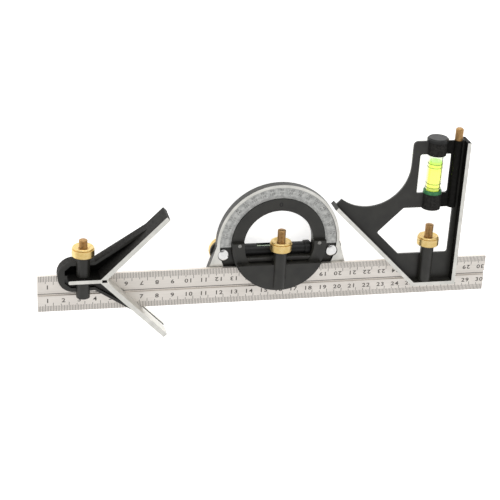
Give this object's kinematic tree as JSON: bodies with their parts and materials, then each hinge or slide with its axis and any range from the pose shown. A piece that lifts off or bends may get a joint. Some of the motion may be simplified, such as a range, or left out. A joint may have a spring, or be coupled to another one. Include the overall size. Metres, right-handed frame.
{
  "type": "combination square set",
  "caption": "Combination square set: a grooved steel rule with sliding centre, protractor and square heads, brass clamp nuts, two spirit levels and a scriber.",
  "frame": {"origin": "middle of the zero end face of the rule", "axes": "+X along the rule to its far end, +Y across it to the side of the nuts, +Z out of the graduated front face"},
  "size_m": [0.3, 0.1348, 0.0272],
  "materials": {
    "steel": "satin ground stainless steel with etched graduations",
    "black_paint": "matt black enamel on a zinc casting, working edges ground bright",
    "scale_plate": "matt etched plate with degree marks",
    "bronze": "threaded bronze-coloured stud",
    "brass": "bright knurled brass",
    "spring_steel": "plain spring steel",
    "chrome": "bright domed head",
    "black_plastic": "satin black plastic",
    "clear_acrylic": "clear acrylic",
    "green_fluid": "fluorescent yellow-green level fluid"
  },
  "bodies": {
    "rule": {"rule": "steel"},
    "centre_head": {"centre_frame": "black_paint", "centre_clamp_spring": "spring_steel"},
    "turret_head": {"turret": "black_paint", "turret_clamp_spring": "spring_steel", "level_tube": "black_plastic", "level_vial": "clear_acrylic", "level_fluid": "green_fluid", "level_cap": "black_plastic"},
    "protractor": {"protractor_body": "black_paint", "degree_scale": "scale_plate", "lock_bolt_left": "chrome", "lock_bolt_right": "chrome"},
    "square_head": {"square_frame": "black_paint", "square_clamp_spring": "spring_steel", "square_vial": "clear_acrylic", "square_fluid": "green_fluid", "square_vial_plug": "black_plastic"},
    "scriber": {"scriber_pin": "spring_steel", "scriber_head": "brass"},
    "centre_bolt": {"centre_clamp_bolt": "bronze"},
    "centre_nut": {"centre_clamp_nut": "brass"},
    "turret_bolt": {"turret_clamp_bolt": "bronze"},
    "turret_nut": {"turret_clamp_nut": "brass"},
    "square_bolt": {"square_clamp_bolt": "bronze"},
    "square_nut": {"square_clamp_nut": "brass"},
    "washer_left": {"lock_washer_left": "black_paint"},
    "lock_nut_left": {"lock_nut_left": "brass"},
    "washer_right": {"lock_washer_right": "black_paint"},
    "lock_nut_right": {"lock_nut_right": "brass"}
  },
  "joints": [
    {"name": "centre_head_slide", "type": "slide", "parent": "rule", "child": "centre_head", "axis": [1, 0, 0], "range_m": [-0.022, 0.008]},
    {"name": "turret_slide", "type": "slide", "parent": "rule", "child": "turret_head", "axis": [1, 0, 0], "range_m": [-0.012, 0]},
    {"name": "square_head_slide", "type": "slide", "parent": "rule", "child": "square_head", "axis": [1, 0, 0], "range_m": [0, 0.018]},
    {"name": "protractor_swing", "type": "hinge", "parent": "turret_head", "child": "protractor", "pos_m": [0.156, 0.027, 0], "axis": [0, 0, 1], "range_deg": [-145, 30]},
    {"name": "scriber_draw", "type": "slide", "parent": "square_head", "child": "scriber", "axis": [0, 1, 0], "range_m": [0, 0.044]},
    {"name": "centre_bolt_slide", "type": "slide", "parent": "centre_head", "child": "centre_bolt", "axis": [0, -1, 0], "range_m": [0, 0.0008]},
    {"name": "centre_nut_turn", "type": "hinge", "parent": "centre_head", "child": "centre_nut", "pos_m": [0.0285, 0.04, 0.004], "axis": [0, 1, 0], "range_deg": [0, 361]},
    {"name": "turret_bolt_slide", "type": "slide", "parent": "turret_head", "child": "turret_bolt", "axis": [0, -1, 0], "range_m": [0, 0.0008]},
    {"name": "turret_nut_turn", "type": "hinge", "parent": "turret_head", "child": "turret_nut", "pos_m": [0.156, 0.04, 0.004], "axis": [0, 1, 0], "range_deg": [0, 361]},
    {"name": "square_bolt_slide", "type": "slide", "parent": "square_head", "child": "square_bolt", "axis": [0, -1, 0], "range_m": [0, 0.0008]},
    {"name": "square_nut_turn", "type": "hinge", "parent": "square_head", "child": "square_nut", "pos_m": [0.256, 0.04, 0.004], "axis": [0, 1, 0], "range_deg": [0, 361]},
    {"name": "washer_slide_left", "type": "slide", "parent": "protractor", "child": "washer_left", "axis": [0, 0, -1], "range_m": [0, 0.0005]},
    {"name": "lock_nut_turn_left", "type": "hinge", "parent": "washer_left", "child": "lock_nut_left", "pos_m": [0.11981, 0.02005, -0.01], "axis": [0, 0, -1], "range_deg": [0, 361]},
    {"name": "washer_slide_right", "type": "slide", "parent": "protractor", "child": "washer_right", "axis": [0, 0, -1], "range_m": [0, 0.0005]},
    {"name": "lock_nut_turn_right", "type": "hinge", "parent": "washer_right", "child": "lock_nut_right", "pos_m": [0.19219, 0.02005, -0.01], "axis": [0, 0, -1], "range_deg": [0, 361]}
  ],
  "couplings": [
    {"joint": "centre_nut_turn", "follows": "centre_bolt_slide", "rad_per_m": 7854},
    {"joint": "turret_nut_turn", "follows": "turret_bolt_slide", "rad_per_m": 7854},
    {"joint": "square_nut_turn", "follows": "square_bolt_slide", "rad_per_m": 7854},
    {"joint": "lock_nut_turn_left", "follows": "washer_slide_left", "rad_per_m": 12566},
    {"joint": "lock_nut_turn_right", "follows": "washer_slide_right", "rad_per_m": 12566}
  ]
}
